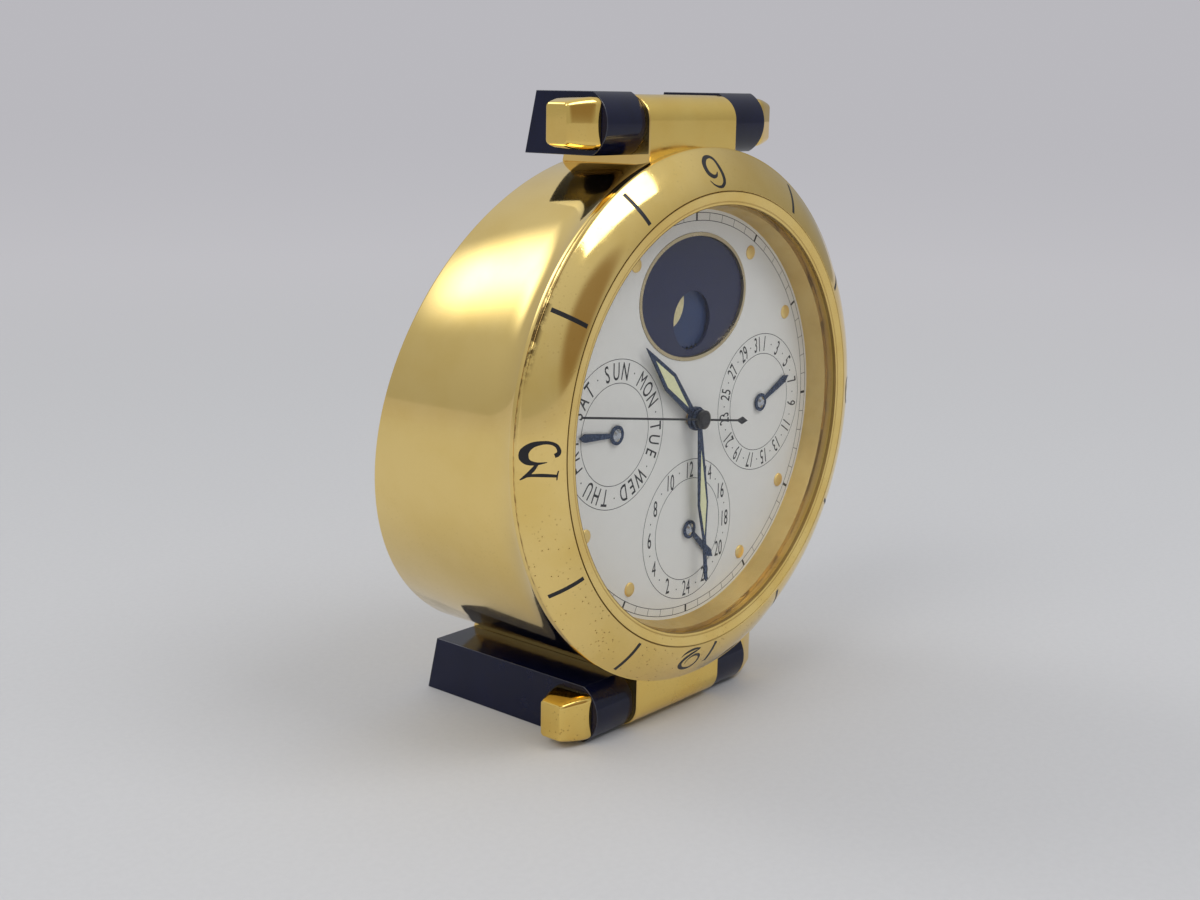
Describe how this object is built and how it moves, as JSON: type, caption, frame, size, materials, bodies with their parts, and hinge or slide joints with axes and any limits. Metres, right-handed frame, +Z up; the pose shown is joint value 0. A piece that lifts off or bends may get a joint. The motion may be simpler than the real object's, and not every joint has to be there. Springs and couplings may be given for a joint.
{
  "type": "moon phase desk clock",
  "caption": "Round table clock with turning bezel, moon phase and calendar hands, held between upper and lower lacquered bars",
  "frame": {"origin": "middle of the bounding box, on the ground plane under the feet", "axes": "+Z up, -Y to the front (dial), +X to the right of someone facing the dial"},
  "size_m": [0.084, 0.0456, 0.1],
  "materials": {
    "gold": "polished yellow gold plate with fine scratches",
    "navy_lacquer": "deep blue gloss lacquer over metal, bright edges",
    "dial_silver": "satin silvered white with black printing",
    "navy_dial": "dark blue satin plate",
    "gilt": "gilt, lightly grained",
    "lume": "pale luminous paint",
    "glass": "clear mineral glass",
    "blued_steel": "dark blued steel, polished",
    "steel": "brushed steel",
    "brass": "turned brass",
    "black_plastic": "moulded black plastic",
    "board": "green circuit board",
    "copper": "fine copper winding",
    "nickel": "nickel plate"
  },
  "bodies": {
    "case": {"case_barrel": "gold", "lug_block_upper": "gold", "lug_block_lower": "gold", "bar_caps": "gold", "bar_upper_left": "navy_lacquer", "bar_upper_right": "navy_lacquer", "foot_lower_left": "navy_lacquer", "foot_lower_right": "navy_lacquer", "tie_rods": "steel", "lug_screws": "steel", "crystal_rim": "gold", "crystal": "glass", "inner_wall_ring": "gold", "dial": "dial_silver", "moon_plate_ring": "gilt", "moon_plate": "navy_dial", "hour_dots": "gold", "main_plate": "brass", "calendar_jumpers": "steel", "movement_housing": "black_plastic", "circuit_board": "board", "coil": "copper", "quartz_can": "nickel", "movement_screws": "steel", "rear_cover": "gold", "rear_screws": "steel", "battery_well": "black_plastic", "battery": "nickel", "battery_contact": "nickel", "setting_bush": "brass"},
    "turning_bezel": {"bezel": "gold"},
    "minute_train": {"cannon_pinion": "steel", "minute_hand": "blued_steel", "minute_hand_lume": "lume"},
    "hour_train": {"hour_wheel": "brass", "hour_hand": "blued_steel", "hour_hand_lume": "lume"},
    "seconds_train": {"seconds_arbor": "steel", "seconds_hand": "blued_steel"},
    "motion_train": {"motion_wheel": "brass"},
    "train_24h": {"wheel_24h": "brass", "arbor_24h": "nickel", "hand_24h": "blued_steel"},
    "day_train": {"day_star": "steel", "day_arbor": "nickel", "day_hand": "blued_steel"},
    "date_train": {"date_star": "steel", "date_arbor": "nickel", "date_hand": "blued_steel"},
    "moon_train": {"moon_disc": "navy_dial", "moons": "gilt"},
    "setting_train": {"setting_stem": "steel", "setting_knob": "gold"},
    "day_button": {"corrector_day": "gold"},
    "date_button": {"corrector_date": "gold"},
    "moon_button": {"corrector_moon": "gold"},
    "hatch": {"battery_hatch": "gold"}
  },
  "joints": [
    {"name": "bezel_turn", "type": "hinge", "parent": "case", "child": "turning_bezel", "pos_m": [0, -0.0205, 0.05], "axis": [0, 1, 0], "continuous": true},
    {"name": "minute_turn", "type": "hinge", "parent": "case", "child": "minute_train", "pos_m": [0, -0.0185, 0.05], "axis": [0, 1, 0], "continuous": true},
    {"name": "hour_turn", "type": "hinge", "parent": "case", "child": "hour_train", "pos_m": [0, -0.0185, 0.05], "axis": [0, 1, 0], "continuous": true},
    {"name": "seconds_turn", "type": "hinge", "parent": "case", "child": "seconds_train", "pos_m": [0, -0.0185, 0.05], "axis": [0, 1, 0], "continuous": true},
    {"name": "motion_turn", "type": "hinge", "parent": "case", "child": "motion_train", "pos_m": [0.00238, -0.0185, 0.0437], "axis": [0, 1, 0], "continuous": true},
    {"name": "hand_24h_turn", "type": "hinge", "parent": "case", "child": "train_24h", "pos_m": [0, -0.0185, 0.0318], "axis": [0, 1, 0], "continuous": true},
    {"name": "day_turn", "type": "hinge", "parent": "case", "child": "day_train", "pos_m": [-0.0185, -0.0185, 0.05], "axis": [0, 1, 0], "continuous": true},
    {"name": "date_turn", "type": "hinge", "parent": "case", "child": "date_train", "pos_m": [0.0185, -0.0185, 0.05], "axis": [0, 1, 0], "continuous": true},
    {"name": "moon_turn", "type": "hinge", "parent": "case", "child": "moon_train", "pos_m": [0, -0.0185, 0.0716], "axis": [0, 1, 0], "continuous": true},
    {"name": "setting_turn", "type": "hinge", "parent": "case", "child": "setting_train", "pos_m": [0, -0.0185, 0.0365], "axis": [0, 1, 0], "continuous": true},
    {"name": "day_press", "type": "slide", "parent": "case", "child": "day_button", "axis": [0, -1, 0], "range_m": [0, 0.0008], "stiffness_N_per_m": 400, "springref_m": -0.001},
    {"name": "date_press", "type": "slide", "parent": "case", "child": "date_button", "axis": [0, -1, 0], "range_m": [0, 0.0008], "stiffness_N_per_m": 400, "springref_m": -0.001},
    {"name": "moon_press", "type": "slide", "parent": "case", "child": "moon_button", "axis": [0, -1, 0], "range_m": [0, 0.0008], "stiffness_N_per_m": 400, "springref_m": -0.001},
    {"name": "hatch_turn", "type": "hinge", "parent": "case", "child": "hatch", "pos_m": [0, 0.00755, 0.063], "axis": [0, 0.9719, 0.2352], "range_deg": [0, 60]}
  ],
  "couplings": [
    {"joint": "hour_turn", "follows": "minute_turn", "ratio": 0.083333},
    {"joint": "seconds_turn", "follows": "minute_turn", "ratio": 60},
    {"joint": "motion_turn", "follows": "minute_turn", "ratio": -0.33333},
    {"joint": "hand_24h_turn", "follows": "minute_turn", "ratio": 0.041667},
    {"joint": "setting_turn", "follows": "minute_turn", "ratio": 0.66667},
    {"joint": "day_turn", "follows": "minute_turn", "ratio": 0.0059524},
    {"joint": "date_turn", "follows": "minute_turn", "ratio": 0.0013441},
    {"joint": "moon_turn", "follows": "minute_turn", "ratio": 0.00070621}
  ]
}
